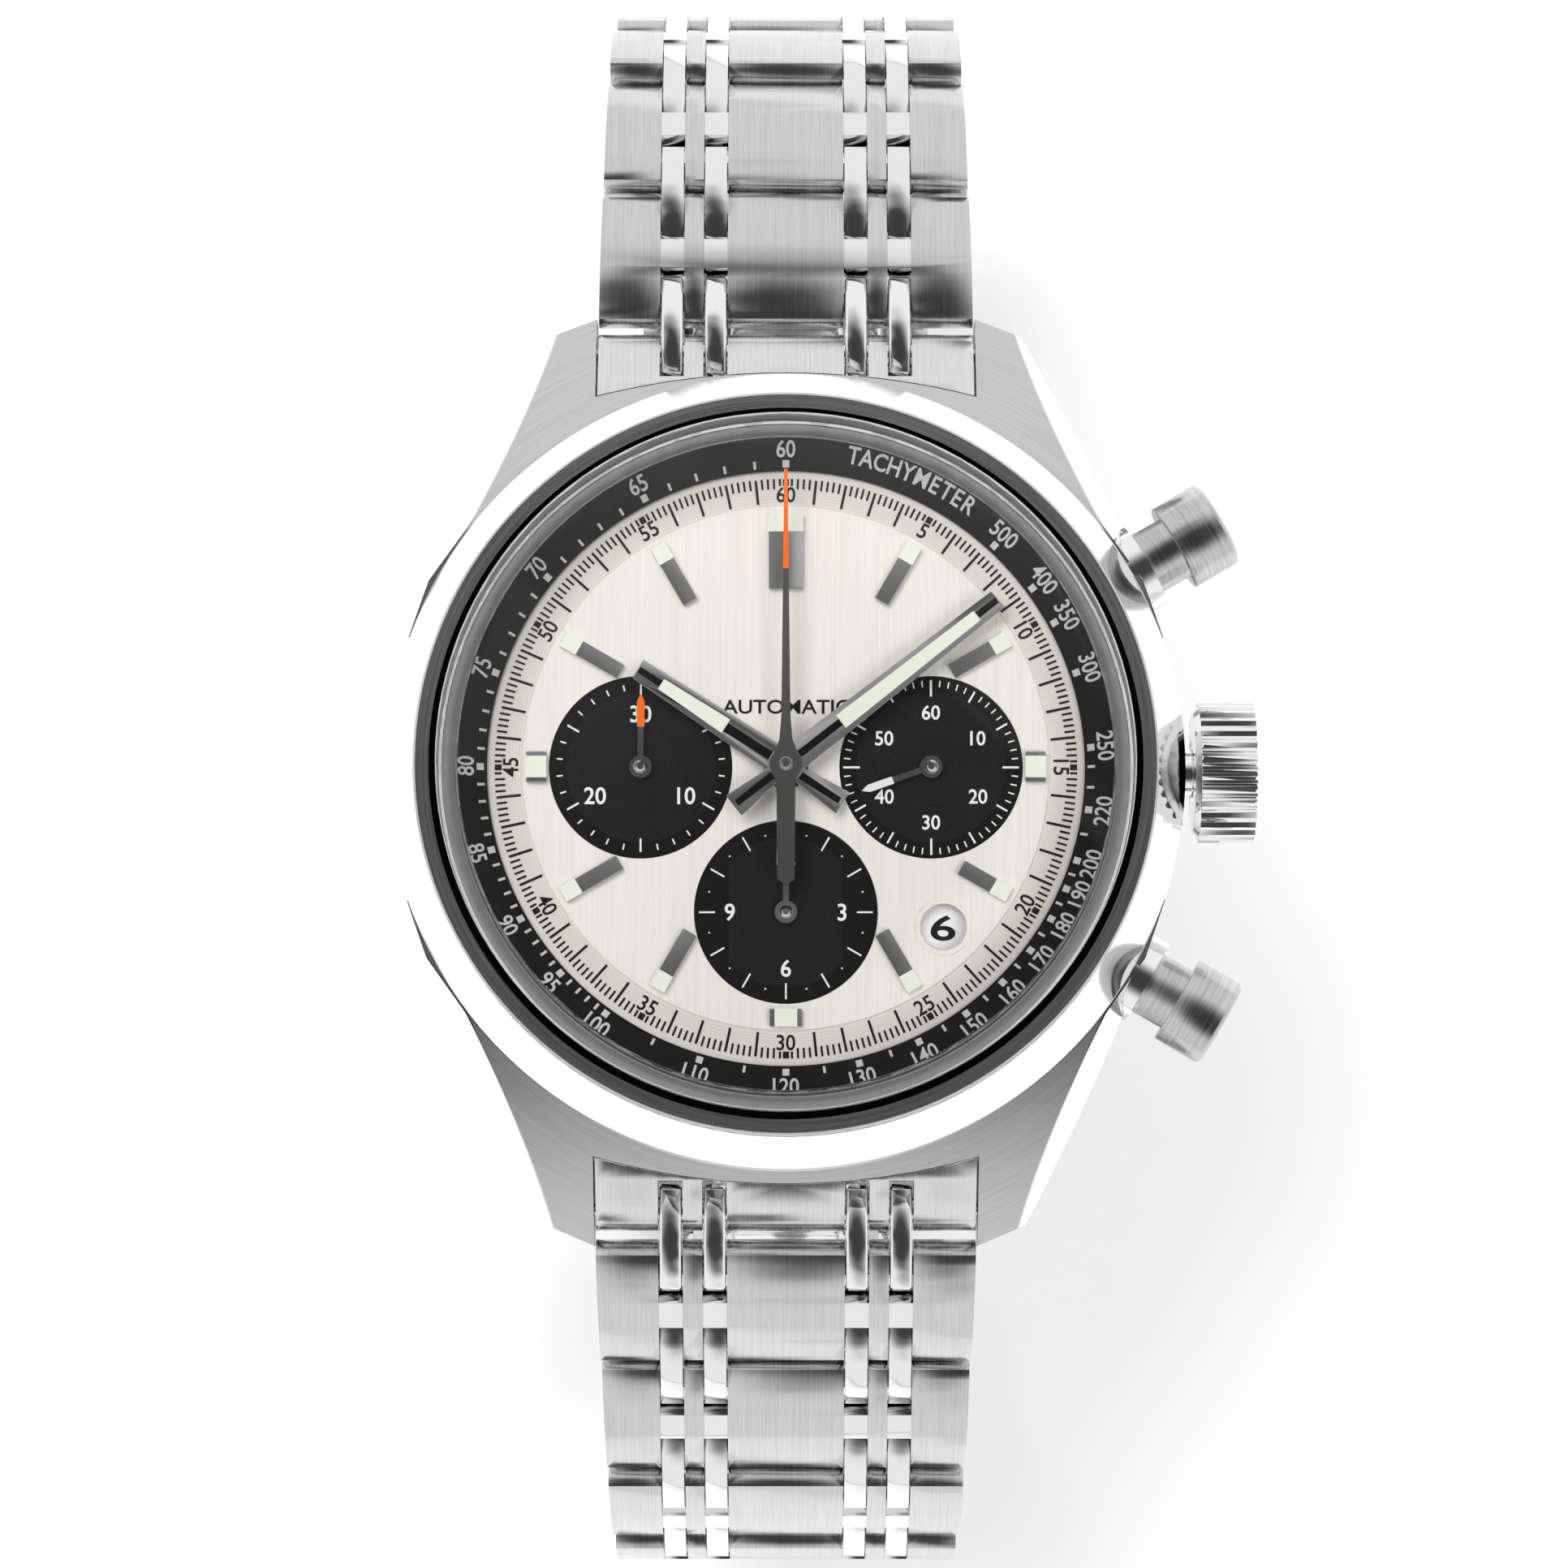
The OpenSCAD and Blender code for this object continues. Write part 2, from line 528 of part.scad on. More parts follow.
module balance_wheel() lift() translate([balance_xy[0], balance_xy[1], 0]) color("gold") {
    ring(balance_r, balance_r - 0.5, -1.15, -0.7);
    for (a = [0, 60, 120]) rotate([0, 0, a]) translate([-balance_r + 0.2, -0.2, -1.05])
        cube([2 * balance_r - 0.4, 0.4, 0.2]);
    disc(0.2, bridge_z0 + 0.1, pivot_z1, $fn = 24);
    disc(0.5, -1.3, -0.9, $fn = 32);
}
module half_turn(r, side) rotate([0, 0, side * 180]) rotate_extrude(angle = 180, $fn = 48)
    translate([r, 0]) square([0.05, 0.16], center = true);
module hairspring() lift() translate([balance_xy[0], balance_xy[1], spring_z]) color("steelblue")
    for (i = [0:8]) translate([i % 2 == 0 ? 0 : -0.13, 0, 0]) half_turn(0.6 + 0.13 * i, i % 2);
module column_wheel() lift() translate([column_xy[0], column_xy[1], 0]) color("silver") {
    disc(1.7, -1.5, -1.2);
    for (i = [0:5]) rotate([0, 0, i * 60]) translate([1.25, 0, 0]) disc(0.3, -2.7, -1.45, $fn = 24);
    disc(0.4, -2.75, pivot_z1, $fn = 32);
}
module rotor() lift() color("silver") difference() {
    union() {
        rotate([0, 0, 180]) rotate_extrude(angle = 180, $fn = 120) polygon([
            [1.2, -3.9], [10.9, -3.9], [11, -4.3], [13.3, -4.3], [13.3, -3.2], [10.6, -3.2], [10.5, -3.6],
            [1.2, -3.6]]);
        disc(2.4, -4.1, -3.5);
    }
    disc(0.85, -10, 0);
    for (a = [210, 250, 290, 330]) rotate([0, 0, a]) translate([6.6, 0, 0]) disc(1.5, -10, 0);
}
module winding_stem() lift() color("silver") along_x(stem_r, 11, crown_x + crown_l - 1.4);
module crown() lift() color("silver") difference() {
    union() {
        translate([crown_x, 0, 0]) rotate([0, 90, 0]) {
            translate([0, 0, 0.3]) linear_extrude(crown_l - 0.55)
                polygon([for (i = [0:crown_flutes * 4 - 1])
                let (q = crown_r - (i % 4 < 2 ? 0 : 0.22), a = i * 90 / crown_flutes)
                    [q * cos(a), q * sin(a)]]);
            cylinder(r1 = crown_r - 0.55, r2 = crown_r - 0.25, h = 0.3);
            translate([0, 0, crown_l - 0.25]) cylinder(r1 = crown_r - 0.25, r2 = crown_r - 0.6, h = 0.25);
        }
    }
    along_x(tube_r + 0.3, crown_x - 1, crown_x + 1.5);
    along_x(stem_r + 0.03, 0, crown_x + crown_l - 1.3);
}
module pusher() {
    along_x(pusher_r, cap_x, cap_x + pusher_l - 0.2);
    translate([cap_x + pusher_l - 0.2, 0, 0]) rotate([0, 90, 0])
        cylinder(r1 = pusher_r, r2 = pusher_r - 0.2, h = 0.2);
    along_x(neck_r, cap_x - 3.6, cap_x + 0.1);
    along_x(0.6, move_r + pusher_travel + 0.15, cap_x - 3.5);
}
module start_stop_pusher() lift() color("silver") rotate([0, 0, pusher_angle]) pusher();
module reset_pusher() lift() color("silver") rotate([0, 0, -pusher_angle]) pusher();

// the space under a face that is arched about the middle of two pins
module arch(r, l) translate([-far / 2, l / 2, half_t - r]) rotate([0, 90, 0])
    cylinder(r = r, h = far, $fn = 360);

// one polished connector lying along +Y from its first pin
module connector_bar(x0, bore_a, bore_b) translate([x0, 0, 0]) difference() {
    intersection() {
        union() {
            rotate([0, 90, 0]) cylinder(r = half_t, h = conn_w);
            translate([0, conn_l, 0]) rotate([0, 90, 0]) cylinder(r = half_t, h = conn_w);
            translate([0, 0, -half_t]) cube([conn_w, conn_l, link_t]);
        }
        arch(conn_arch, conn_l);
    }
    translate([conn_w / 2, 0, 0]) across(bore_a, conn_w);
    translate([conn_w / 2, conn_l, 0]) across(bore_b, conn_w);
}
module connectors(bore_a, bore_b) sides() for (x = conn_x) connector_bar(x, bore_a, bore_b);
module slots(y0, y1) sides() for (x = conn_x)
    translate([x - slot_gap, y0, -half_t - 1]) cube([conn_w + 2 * slot_gap, y1 - y0, link_t + 2]);
// a brushed link between its own two pins, w0 and w1 wide at its ends
module brushed_link(w0, w1) difference() {
    intersection() {
        union() {
            across(half_t, far / 2);
            translate([0, link_l, 0]) across(half_t, far / 2);
            translate([-far / 2, 0, -half_t]) cube([far, link_l, link_t]);
        }
        arch(link_arch, link_l);
        translate([0, 0, -10]) linear_extrude(20) polygon([
            [-w0 / 2, -half_t - 0.1], [w0 / 2, -half_t - 0.1],
            [w1 / 2, link_l + half_t + 0.1], [-w1 / 2, link_l + half_t + 0.1]]);
    }
    slots(-half_t - 1, slot_end);
    slots(link_l - slot_end, link_l + half_t + 1);
    for (y = [0, link_l]) translate([0, y, 0]) across(pin_r + fit, far / 2);
}
function row_w(k) = bracelet_w - (bracelet_w - bracelet_end_w) * k / rows_12;
module row(k) {
    brushed_link(row_w(k), row_w(k + 0.8));
    translate([0, link_l, 0]) connectors(pin_r + fit, pin_r + pin_gap);
    for (y = [0, link_l]) translate([0, y, 0]) across(pin_r, row_w(k + 0.8) / 2 - 0.15);
}
module placed_row(s, d, k) lift() color("silver")
    translate([0, pin_y(s, d, k), bar_z - pin_drop(s, d, k)]) rotate([-slope(s, k, d), 0, 0]) row(k);
module row_12(k) placed_row(slopes_12, curl_12, k);
module row_12_last() {
    row_12(rows_12 - 1);
    color("silver") translate([0, clasp_y12, clasp_pin_z]) across(pin_r + fit / 2, cover_in - 0.15);
}
module row_6(k) mirror([0, 1, 0]) placed_row(slopes_6, curl_6, k);

module end_link() lift() color("silver") difference() {
    union() {
        intersection() {
            translate([0, 0, lug_top_z - end_drop]) rotate([0, 90, 0])
                cylinder(r = lug_top_r, h = far, center = true, $fn = 360);
            union() {
                translate([-lug_gap / 2 + 0.1, 15, bar_z - half_t]) cube([lug_gap - 0.2, bar_y - 15, far]);
                translate([-lug_gap / 2 + 0.1, 15, bar_z]) cube([lug_gap - 0.2, end_y - 15, far]);
            }
        }
        translate([0, bar_y, bar_z]) across(end_r, lug_gap / 2 - 0.1);
    }
    disc(case_r + 0.05, -far, far, $fn = 180);
    translate([0, strip_y, 0]) disc(strip_r + 0.06, -far, far, $fn = 360);
    translate([0, bar_y, bar_z]) slots(-slot_end, half_t + 1);
    translate([0, bar_y, bar_z + half_t]) slots(-slot_end, half_t + 1);
    translate([0, bar_y, bar_z]) across(bar_r + fit, far / 2);
}
module end_links() for (m = [0, 1]) mirror([0, m, 0]) end_link();
module end_connectors() lift() color("gainsboro") for (m = [0, 1]) mirror([0, m, 0])
    translate([0, bar_y, bar_z]) rotate([-end_slope, 0, 0]) connectors(bar_r + fit, pin_r + pin_gap);
module spring_bars() lift() color("silver") for (s = [-1, 1]) translate([0, s * bar_y, bar_z]) {
    across(bar_r, lug_gap / 2 - 0.15);
    across(bar_tip_r, lug_gap / 2 + 1.4);
}

module clasp_cover() color("silver") {
    difference() {
        union() {
            translate([-cover_out, hinge_a_y - cover_end, 0])
                cube([2 * cover_out, hinge_b_y - hinge_a_y + 2 * cover_end, cover_t]);
            sides() translate([cover_in, hinge_a_y - cover_end, 0])
                cube([cover_wall, hinge_b_y - hinge_a_y + 2 * cover_end, wall_h]);
            sides() translate([cover_in, hinge_b_y, clasp_pin_z - 1.5])
                cube([cover_wall, clasp_y12 - hinge_b_y, wall_h + 1.5 - clasp_pin_z]);
            sides() translate([cover_in, clasp_y12, clasp_pin_z]) intersection() {
                rotate([0, 90, 0]) cylinder(r = 1.5, h = cover_wall);
                translate([-1, -2, -2]) cube([3, 4, wall_h - clasp_pin_z + 2]);
            }
        }
        for (i = [0:2]) translate([0, clasp_y12 - 2.2 * i, clasp_pin_z]) across(0.45, far / 2);
        translate([-blade_w / 2 - 0.3, hinge_a_y - far, -1]) cube([blade_w + 0.6, far + 1.2, cover_t + 2]);
        sides() translate([cover_in - 1, button_y - 2.5, button_z - 1]) cube([3, 5, 2]);
    }
    translate([0, hinge_a_y, hinge_a_z]) across(pin_r, cover_in + 0.1);
}
module clasp_outer_blade() color("silver") difference() {
    union() {
        translate([-blade_w / 2, hinge_a_y, plate_a_z])
            cube([blade_w, hinge_b_y - knuckle_b - 0.3 - hinge_a_y, blade_t]);
        translate([-2.5, hinge_a_y, plate_a_z]) cube([5, hinge_b_y - hinge_a_y, blade_t]);
        translate([0, hinge_a_y, hinge_a_z]) across(knuckle_a, blade_w / 2 - 0.1);
        translate([0, hinge_b_y, hinge_b_z]) across(knuckle_b, 2.5);
    }
    translate([0, hinge_a_y, hinge_a_z]) across(pin_r + pin_gap, far / 2);
    translate([0, hinge_b_y, hinge_b_z]) across(pin_r + pin_gap, far / 2);
}
module clasp_inner_blade() color("silver") {
    difference() {
        union() {
            translate([-blade_w / 2, clasp_y6 + half_t + 0.2, plate_b_z])
                cube([blade_w, hinge_b_y - clasp_y6 - half_t - 0.2, blade_t]);
            translate([-bar_in + 0.1, clasp_y6, plate_b_z]) cube([2 * bar_in - 0.2, 4, blade_t]);
            translate([0, hinge_b_y, hinge_b_z]) across(knuckle_b, blade_w / 2);
            translate([0, clasp_y6, clasp_pin_z]) across(half_t - 0.1, bar_in - 0.1);
        }
        translate([-2.6, hinge_b_y - knuckle_b - 0.3, -1]) cube([5.2, far, 10]);
    }
    translate([0, hinge_b_y, hinge_b_z]) across(pin_r, 3);
    translate([0, clasp_y6, clasp_pin_z]) across(pin_r, conn_x[1] + conn_w);
}
module clasp_button() color("silver") {
    translate([cover_in - 0.5, button_y - 2.4, button_z - 0.9]) cube([cover_wall + 1.1, 4.8, 1.8]);
    translate([cover_in - 0.9, button_y - 2.9, button_z - 1.2]) cube([0.45, 5.8, 2.4]);
}
module clasp_button_left() mirror([1, 0, 0]) clasp_button();
module clasp_button_right() clasp_button();

case_middle();
bezel();
crystal();
gaskets();
tachymeter_ring();
case_back();
case_back_crystal();
case_tubes();
movement_ring();
dial();
subdial_discs();
hour_markers();
hour_hand();
minute_hand();
chrono_seconds_hand();
small_seconds_hand();
minute_counter_hand();
hour_counter_hand();
date_disc();
mainplate();
train_bridge();
balance_cock();
bridge_screws();
bridge_jewels();
mainspring_barrel();
centre_wheel();
third_wheel();
escape_wheel();
pallet_fork();
balance_wheel();
hairspring();
column_wheel();
rotor();
winding_stem();
crown();
start_stop_pusher();
reset_pusher();
end_links();
end_connectors();
spring_bars();
row_12(0);  // row_12_1
row_12(1);  // row_12_2
row_12(2);  // row_12_3
row_12(3);  // row_12_4
row_12(4);  // row_12_5
row_12(5);  // row_12_6
row_12(6);  // row_12_7
row_12_last();  // row_12_8
row_6(0);  // row_6_1
row_6(1);  // row_6_2
row_6(2);  // row_6_3
row_6(3);  // row_6_4
row_6(4);  // row_6_5
row_6(5);  // row_6_6
row_6(6);  // row_6_7
clasp_cover();
clasp_outer_blade();
clasp_inner_blade();
clasp_button_left();
clasp_button_right();
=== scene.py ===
import math

import bmesh
import bpy
from mathutils import Matrix, Vector


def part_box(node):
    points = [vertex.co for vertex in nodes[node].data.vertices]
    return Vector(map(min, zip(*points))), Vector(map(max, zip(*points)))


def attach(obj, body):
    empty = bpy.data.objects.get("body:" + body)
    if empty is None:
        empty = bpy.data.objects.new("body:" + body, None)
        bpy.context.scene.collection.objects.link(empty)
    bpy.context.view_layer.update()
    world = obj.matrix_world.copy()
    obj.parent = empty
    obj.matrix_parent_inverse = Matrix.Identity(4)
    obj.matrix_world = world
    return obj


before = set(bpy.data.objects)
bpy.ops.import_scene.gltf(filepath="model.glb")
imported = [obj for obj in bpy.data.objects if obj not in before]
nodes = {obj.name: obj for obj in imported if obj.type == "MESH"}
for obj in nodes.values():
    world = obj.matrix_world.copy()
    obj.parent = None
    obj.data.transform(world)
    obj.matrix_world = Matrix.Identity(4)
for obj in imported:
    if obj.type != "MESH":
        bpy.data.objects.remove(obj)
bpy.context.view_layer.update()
MM = 0.001


def middle(node):
    low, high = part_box(node)
    return (low + high) / 2 / MM


STEM = middle("crown").z
DIAL = STEM + 3.2
TRACK = DIAL - 0.12
SUB = DIAL - 0.15
HOUR_TOP = DIAL + 0.85
MINUTE_TOP = HOUR_TOP + 0.5
CHRONO_TOP = MINUTE_TOP + 0.46
SMALL_TOP = SUB + 0.37
SUB_OFFSET = 7.7
BEZEL_PLANE = STEM + 4.6
# how far printed marks stand above what they are printed on
PRINT = 0.012


# ---------------------------------------------------------------- finishes
class Sock:
    """A node's output that takes part in Python arithmetic."""

    def __init__(self, finish, out):
        self.finish = finish
        self.out = out

    def op(self, kind, *values, clamp=False):
        return self.finish.node("ShaderNodeMath", {"operation": kind, "use_clamp": clamp}, values)

    def __add__(self, other):
        return self.op("ADD", self, other)

    def __radd__(self, other):
        return self.op("ADD", other, self)

    def __sub__(self, other):
        return self.op("SUBTRACT", self, other)

    def __rsub__(self, other):
        return self.op("SUBTRACT", other, self)

    def __mul__(self, other):
        return self.op("MULTIPLY", self, other)

    def __rmul__(self, other):
        return self.op("MULTIPLY", other, self)

    def __truediv__(self, other):
        return self.op("DIVIDE", self, other)

    def __pow__(self, other):
        return self.op("POWER", self, other)

    def size(self):
        return self.op("ABSOLUTE", self)

    def past(self, edge, soft=0.02):
        """0 before the edge and 1 after it, over a soft step."""
        return self.finish.node(
            "ShaderNodeMapRange",
            {"interpolation_type": "SMOOTHSTEP"},
            {"Value": self, "From Min": edge - soft, "From Max": edge + soft, "To Min": 0.0, "To Max": 1.0},
        )

    def between(self, low, high, soft=0.02):
        return self.past(low, soft) * (1 - self.past(high, soft))


class Finish:
    """One material, built up from sockets. Lengths are in millimetres from a centre that it is given."""

    def __init__(self, name, centre=(0, 0, 0)):
        self.material = bpy.data.materials.new(name)
        self.material.use_nodes = True
        self.tree = self.material.node_tree
        self.tree.nodes.clear()
        raw = self.node("ShaderNodeTexCoord", output="Object")
        self.place = self.node(
            "ShaderNodeMapping",
            {},
            {"Vector": raw, "Scale": (1000.0, 1000.0, 1000.0), "Location": tuple(-c for c in centre)},
        )
        self.x = self.part(self.place, "X")
        self.y = self.part(self.place, "Y")
        self.z = self.part(self.place, "Z")

    def node(self, kind, settings=None, inputs=(), output=0):
        n = self.tree.nodes.new(kind)
        for key, value in (settings or {}).items():
            if key == "stops":
                ramp = n.color_ramp
                while len(ramp.elements) < len(value):
                    ramp.elements.new(1.0)
                for element, (at, colour) in zip(ramp.elements, value):
                    element.position = at
                    element.color = colour
            else:
                setattr(n, key, value)
        pairs = inputs.items() if isinstance(inputs, dict) else enumerate(inputs)
        for key, value in pairs:
            if isinstance(value, Sock):
                self.tree.links.new(value.out, n.inputs[key])
            else:
                n.inputs[key].default_value = value
        return Sock(self, n.outputs[output]) if len(n.outputs) else None

    def part(self, vector, axis):
        return self.node("ShaderNodeSeparateXYZ", {}, {"Vector": vector}, output=axis)

    def vector(self, x, y, z):
        return self.node("ShaderNodeCombineXYZ", {}, {"X": x, "Y": y, "Z": z})

    def noise(self, at, scale=1.0, detail=3.0, rough=0.55):
        return self.node(
            "ShaderNodeTexNoise",
            {"noise_dimensions": "3D"},
            {"Vector": at, "Scale": scale, "Detail": detail, "Roughness": rough},
            output="Fac",
        )

    def mix(self, share, a, b):
        """Between two colours."""
        return self.node(
            "ShaderNodeMix",
            {"data_type": "RGBA"},
            {
                0: share,
                6: a if isinstance(a, Sock) else (*a, 1.0),
                7: b if isinstance(b, Sock) else (*b, 1.0),
            },
            output=2,
        )

    def blend(self, share, a, b):
        """Between two numbers."""
        return self.node("ShaderNodeMix", {"data_type": "FLOAT"}, {0: share, 2: a, 3: b})

    def radius(self):
        return (self.x * self.x + self.y * self.y) ** 0.5

    def turn(self):
        return self.node("ShaderNodeMath", {"operation": "ARCTAN2"}, (self.y, self.x))

    def bump(self, height, depth_mm, strength=1.0, under=None):
        inputs = {"Strength": strength, "Distance": depth_mm * MM, "Height": height}
        if under is not None:
            inputs["Normal"] = under
        return self.node("ShaderNodeBump", {}, inputs)

    def skin(self, **sockets):
        """The Principled shader and the output; underscores in a name stand for spaces."""
        inputs = {name.replace("_", " "): value for name, value in sockets.items()}
        shader = self.node("ShaderNodeBsdfPrincipled", {}, inputs)
        self.node("ShaderNodeOutputMaterial", {}, {"Surface": shader})
        return self.material


def grey(value, warm=0.0):
    return (value * (1 + warm), value, value * (1 - warm))


def lines_along(f, axis, fine=7.0, long=0.22):
    """Brushing that runs along one axis: fine lines side by side, long in the other direction."""
    scale = {"X": (long, fine, fine), "Y": (fine, long, long), "Z": (fine, fine, long)}[axis]
    at = f.node("ShaderNodeVectorMath", {"operation": "MULTIPLY"}, (f.place, scale))
    return f.noise(at, 1.0, 4.0, 0.65)


def lines_round(f, fine=7.0, long=2.2):
    """Brushing that runs round the middle."""
    turn = f.turn()
    at = f.vector(f.radius() * fine, turn.op("COSINE", turn) * long, turn.op("SINE", turn) * long)
    return f.noise(at, 1.0, 4.0, 0.65)


def smudges(f, scale=0.35):
    return f.noise(f.place, scale, 3.0, 0.6)


def brushed(name, pattern, bright=0.74, rough=0.3, depth=0.004, centre=(0, 0, 0), polish=None, warm=0.004):
    """Brushed steel; polish gives a mask of the faces that are mirror bright instead."""
    f = Finish(name, centre)
    lines = pattern(f)
    fog = smudges(f)
    shine = polish(f) if polish else 0.0
    tone = f.mix(lines.past(0.5, 0.28), grey(bright * 0.9, warm), grey(bright * 1.08, warm))
    rub = f.blend(fog, rough - 0.03, rough + 0.05) + (lines - 0.5) * 0.1
    if polish is None:
        return f.skin(
            Base_Color=tone, Metallic=1.0, Roughness=rub, Normal=f.bump(lines, depth, 0.6)
        )
    return f.skin(
        Base_Color=f.mix(shine, tone, grey(0.8)),
        Metallic=1.0,
        Roughness=f.blend(shine, rub, 0.05 + fog * 0.03),
        Normal=f.bump(lines * (1 - shine), depth, 0.6),
    )


def polished(name, bright=0.86, rough=0.05, warm=0.0):
    f = Finish(name)
    fog = smudges(f, 0.6)
    hair = f.noise(f.place, 9.0, 2.0)
    return f.skin(
        Base_Color=f.mix(fog, grey(bright * 0.97, warm), grey(bright, warm)),
        Metallic=1.0,
        Roughness=rough + fog * 0.04,
        Normal=f.bump(hair, 0.0008, 0.3),
    )


def lacquer(name, colour, rough=0.35, metallic=0.0, coat=0.0, gloss=0.3):
    f = Finish(name)
    fog = f.noise(f.place, 3.0, 3.0)
    dark = tuple(c * 0.9 for c in colour)
    return f.skin(
        Base_Color=f.mix(fog, dark, colour),
        Metallic=metallic,
        Roughness=rough - 0.04 + fog * 0.08,
        Coat_Weight=coat,
        Specular_IOR_Level=gloss,
        Normal=f.bump(f.noise(f.place, 14.0, 2.0), 0.002, 0.4),
    )


RING_EDGE = 21.28
# the facet's plane: its slope, its turn from straight across, and its distance from the stem's middle
FACET_RISE = 29.3
FACET_TURN = 35.5
FACET_OUT = 19.8


def facet_and_ring(f):
    """The polished ring of the case, and the long facets on the flanks of the lugs."""
    ring = 1 - f.radius().past(RING_EDGE, 0.03)
    el = math.radians(FACET_RISE)
    az = math.radians(FACET_TURN)
    flat = f.x.size() * (math.cos(az) * math.cos(el)) + f.y.size() * (math.sin(az) * math.cos(el))
    out = flat + f.z * math.sin(el)
    reach = out.past(FACET_OUT - 0.05, 0.02)
    return reach.op("MINIMUM", ring + reach, 1.0)


def connector_columns(f):
    across = f.x.size()
    return across.between(3.19, 4.45, 0.01) + across.between(5.56, 6.82, 0.01)


AT_STEM = (0, 0, STEM)
case_steel = brushed(
    "case_steel", lambda f: lines_round(f, 11.0, 2.5), 0.58, 0.3, 0.002, AT_STEM, facet_and_ring
)
end_steel = brushed("end_link_steel", lambda f: lines_along(f, "Y", 11.0), 0.72, 0.26, 0.002)
# the rows' brushed steel is painted darker than the end links' (0.6 against 0.72): painted shade standing
# in for the darker look along the rows, though it is the same steel; the mirror bright connector columns
# are a real finish
link_steel_painted_shade = brushed(
    "link_steel_painted_shade", lambda f: lines_along(f, "Y", 11.0, 0.18), 0.6, 0.2, 0.002, (0, 0, 0), connector_columns
)
back_steel = brushed("back_steel", lambda f: lines_round(f, 5.0, 2.0), 0.7, 0.22)
clasp_steel = brushed("clasp_steel", lambda f: lines_along(f, "Y", 6.0, 0.2), 0.74, 0.28)
mirror_steel = polished("mirror_steel")
bright_steel = polished("bright_steel", 0.9, 0.1)
hand_steel = polished("hand_steel", 0.72, 0.34)


def bezel_finish():
    f = Finish("bezel_dark")
    lines = lines_round(f, 9.0, 2.0)
    return f.skin(
        Base_Color=f.mix(lines.past(0.5, 0.25), grey(0.42), grey(0.62)),
        Metallic=1.0,
        Roughness=0.3 + (lines - 0.5) * 0.2,
        Normal=f.bump(lines, 0.004, 0.6),
    )


def dial_finish():
    f = Finish("dial_cream")
    upright = lines_along(f, "Y", 9.0, 0.12)
    wide = lines_along(f, "Y", 4.0, 0.08)
    rings = (f.radius() * (2 * math.pi / 0.16)).op("SINE", f.radius() * (2 * math.pi / 0.16))
    track = f.radius().past(13.96, 0.02)
    grain = f.blend(0.4, upright, wide)
    field = f.mix(grain.past(0.5, 0.22), (0.84, 0.80, 0.745), (0.95, 0.91, 0.855))
    outer = f.mix(rings * 0.5 + 0.5, (0.72, 0.68, 0.625), (0.80, 0.76, 0.70))
    return f.skin(
        Base_Color=f.mix(track, field, outer),
        Metallic=0.0,
        Roughness=0.42 + (grain - 0.5) * 0.12,
        Normal=f.bump(f.blend(track, upright, rings * 0.5 + 0.5), 0.003, 0.5),
    )


def small_dial_finish():
    """Black, with fine grooves round each small dial and a plain border."""
    f = Finish("small_dial_black")
    left = f.x.past(-3.0, 0.01)
    right = f.x.past(3.0, 0.01)
    centre_x = (1 - left) * -SUB_OFFSET + right * SUB_OFFSET
    low = left * (1 - right)
    dx = f.x - centre_x
    dy = f.y + low * SUB_OFFSET
    r = (dx * dx + dy * dy) ** 0.5
    waves = (r * (2 * math.pi / 0.13)).op("SINE", r * (2 * math.pi / 0.13)) * 0.5 + 0.5
    border = r.past(3.95, 0.02)
    sheen = f.mix(waves, (0.008, 0.008, 0.0085), (0.024, 0.024, 0.025))
    return f.skin(
        Base_Color=f.mix(border, sheen, (0.009, 0.009, 0.0095)),
        Metallic=0.1,
        Specular_IOR_Level=0.15,
        Roughness=f.blend(border, 0.3, 0.42),
        Normal=f.bump(waves * (1 - border), 0.006, 0.7),
    )


def scale_ring_finish():
    f = Finish("scale_ring_black")
    fine = f.noise(f.place, 16.0, 3.0)
    rim = f.radius().past(17.5, 0.02)
    return f.skin(
        Base_Color=f.mix(
            rim, f.mix(fine, (0.007, 0.007, 0.0075), (0.013, 0.013, 0.014)), (0.8, 0.8, 0.8)
        ),
        Metallic=rim,
        Specular_IOR_Level=0.15,
        Roughness=0.38 + fine * 0.1,
        Normal=f.bump(fine, 0.003, 0.5),
    )


def lume_finish():
    f = Finish("lume_pale_green")
    grain = f.noise(f.place, 7.0, 3.0)
    return f.skin(
        Base_Color=f.mix(grain, (0.84, 0.87, 0.75), (0.93, 0.96, 0.85)),
        Roughness=0.65,
        Normal=f.bump(grain, 0.02, 0.6),
    )


def split_hand(name, centre, mask, base, tip):
    """A hand whose tip is lacquered in another colour."""
    f = Finish(name, centre)
    lacquered = mask(f)
    fog = f.noise(f.place, 4.0, 2.0)
    return f.skin(
        Base_Color=f.mix(lacquered, base, f.mix(fog, tuple(c * 0.92 for c in tip), tip)),
        Metallic=1 - lacquered,
        Roughness=f.blend(lacquered, 0.2, 0.38),
        Normal=f.bump(fog, 0.001, 0.3),
    )


def glass_finish(name, tint):
    """Clear sapphire: what is behind shows through, with a reflection that grows at the rim."""
    f = Finish(name)
    clear = f.node("ShaderNodeBsdfTransparent", {}, {"Color": (*tint, 1.0)})
    shine = f.node("ShaderNodeBsdfGlossy", {}, {"Color": (1.0, 1.0, 1.0, 1.0), "Roughness": 0.02})
    fres = f.node("ShaderNodeFresnel", {}, {"IOR": 1.5})
    wall = f.radius().between(17.4, 17.95)
    both = f.node("ShaderNodeMixShader", {}, (fres * (1 - wall * 0.7), clear, shine))
    f.node("ShaderNodeOutputMaterial", {}, {"Surface": both})
    return f.material


